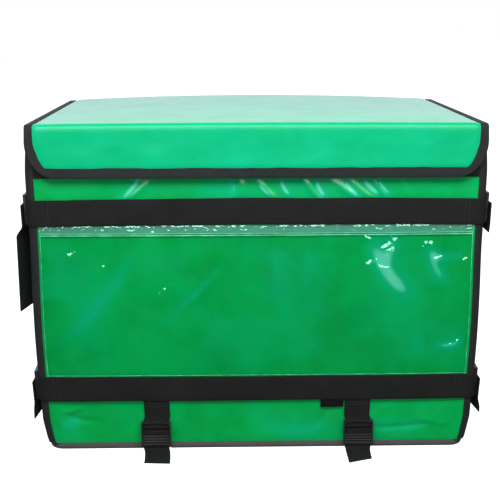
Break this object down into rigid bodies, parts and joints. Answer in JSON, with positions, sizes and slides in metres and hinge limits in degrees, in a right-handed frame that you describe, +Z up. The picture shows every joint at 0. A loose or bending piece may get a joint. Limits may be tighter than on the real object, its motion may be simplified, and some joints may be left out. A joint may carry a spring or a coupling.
{
  "type": "insulated food delivery bag",
  "caption": "Box-shaped insulated delivery bag with a front-flap lid, webbing belts, a clear front pocket, side buckles and tie straps.",
  "frame": {"origin": "on the floor under the middle of the base", "axes": "+Z up, +X to the right seen from the front, the front faces -Y"},
  "size_m": [0.677, 0.465, 0.4905],
  "materials": {
    "green_cloth": "coated cloth, slightly glossy",
    "lid_cloth": "coated cloth, glossy",
    "grey_cloth": "matte coated cloth",
    "black_tape": "woven binding tape",
    "webbing": "woven webbing",
    "tag_cloth": "woven",
    "clear_film": "clear soft film, glossy",
    "buckle_plastic": "satin moulded plastic"
  },
  "bodies": {
    "root": {"front_panel": "green_cloth", "back_panel": "green_cloth", "side_panel_left": "green_cloth", "side_panel_right": "green_cloth", "base_panel": "grey_cloth", "lid_panel": "lid_cloth", "lid_binding": "black_tape", "lid_hinge": "green_cloth", "corner_binding_front_left": "black_tape", "corner_binding_front_right": "black_tape", "corner_binding_rear_left": "black_tape", "corner_binding_rear_right": "black_tape", "clear_pocket": "clear_film", "upper_belt_front": "webbing", "upper_belt_rear": "webbing", "lower_belt_front": "webbing", "lower_belt_rear": "webbing", "upper_buckle_left": "buckle_plastic", "upper_buckle_right": "buckle_plastic", "lower_buckle_left": "buckle_plastic", "lower_buckle_right": "buckle_plastic", "upper_tail_left": "webbing", "upper_tail_right": "webbing", "lower_tail_left": "webbing", "lower_tail_right": "webbing", "strap_anchor_left": "webbing", "strap_anchor_right": "webbing", "ladder_buckle_left": "buckle_plastic", "ladder_buckle_right": "buckle_plastic", "tie_strap_left": "webbing", "tie_strap_right": "webbing", "sewn_tag": "tag_cloth"}
  },
  "joints": []
}
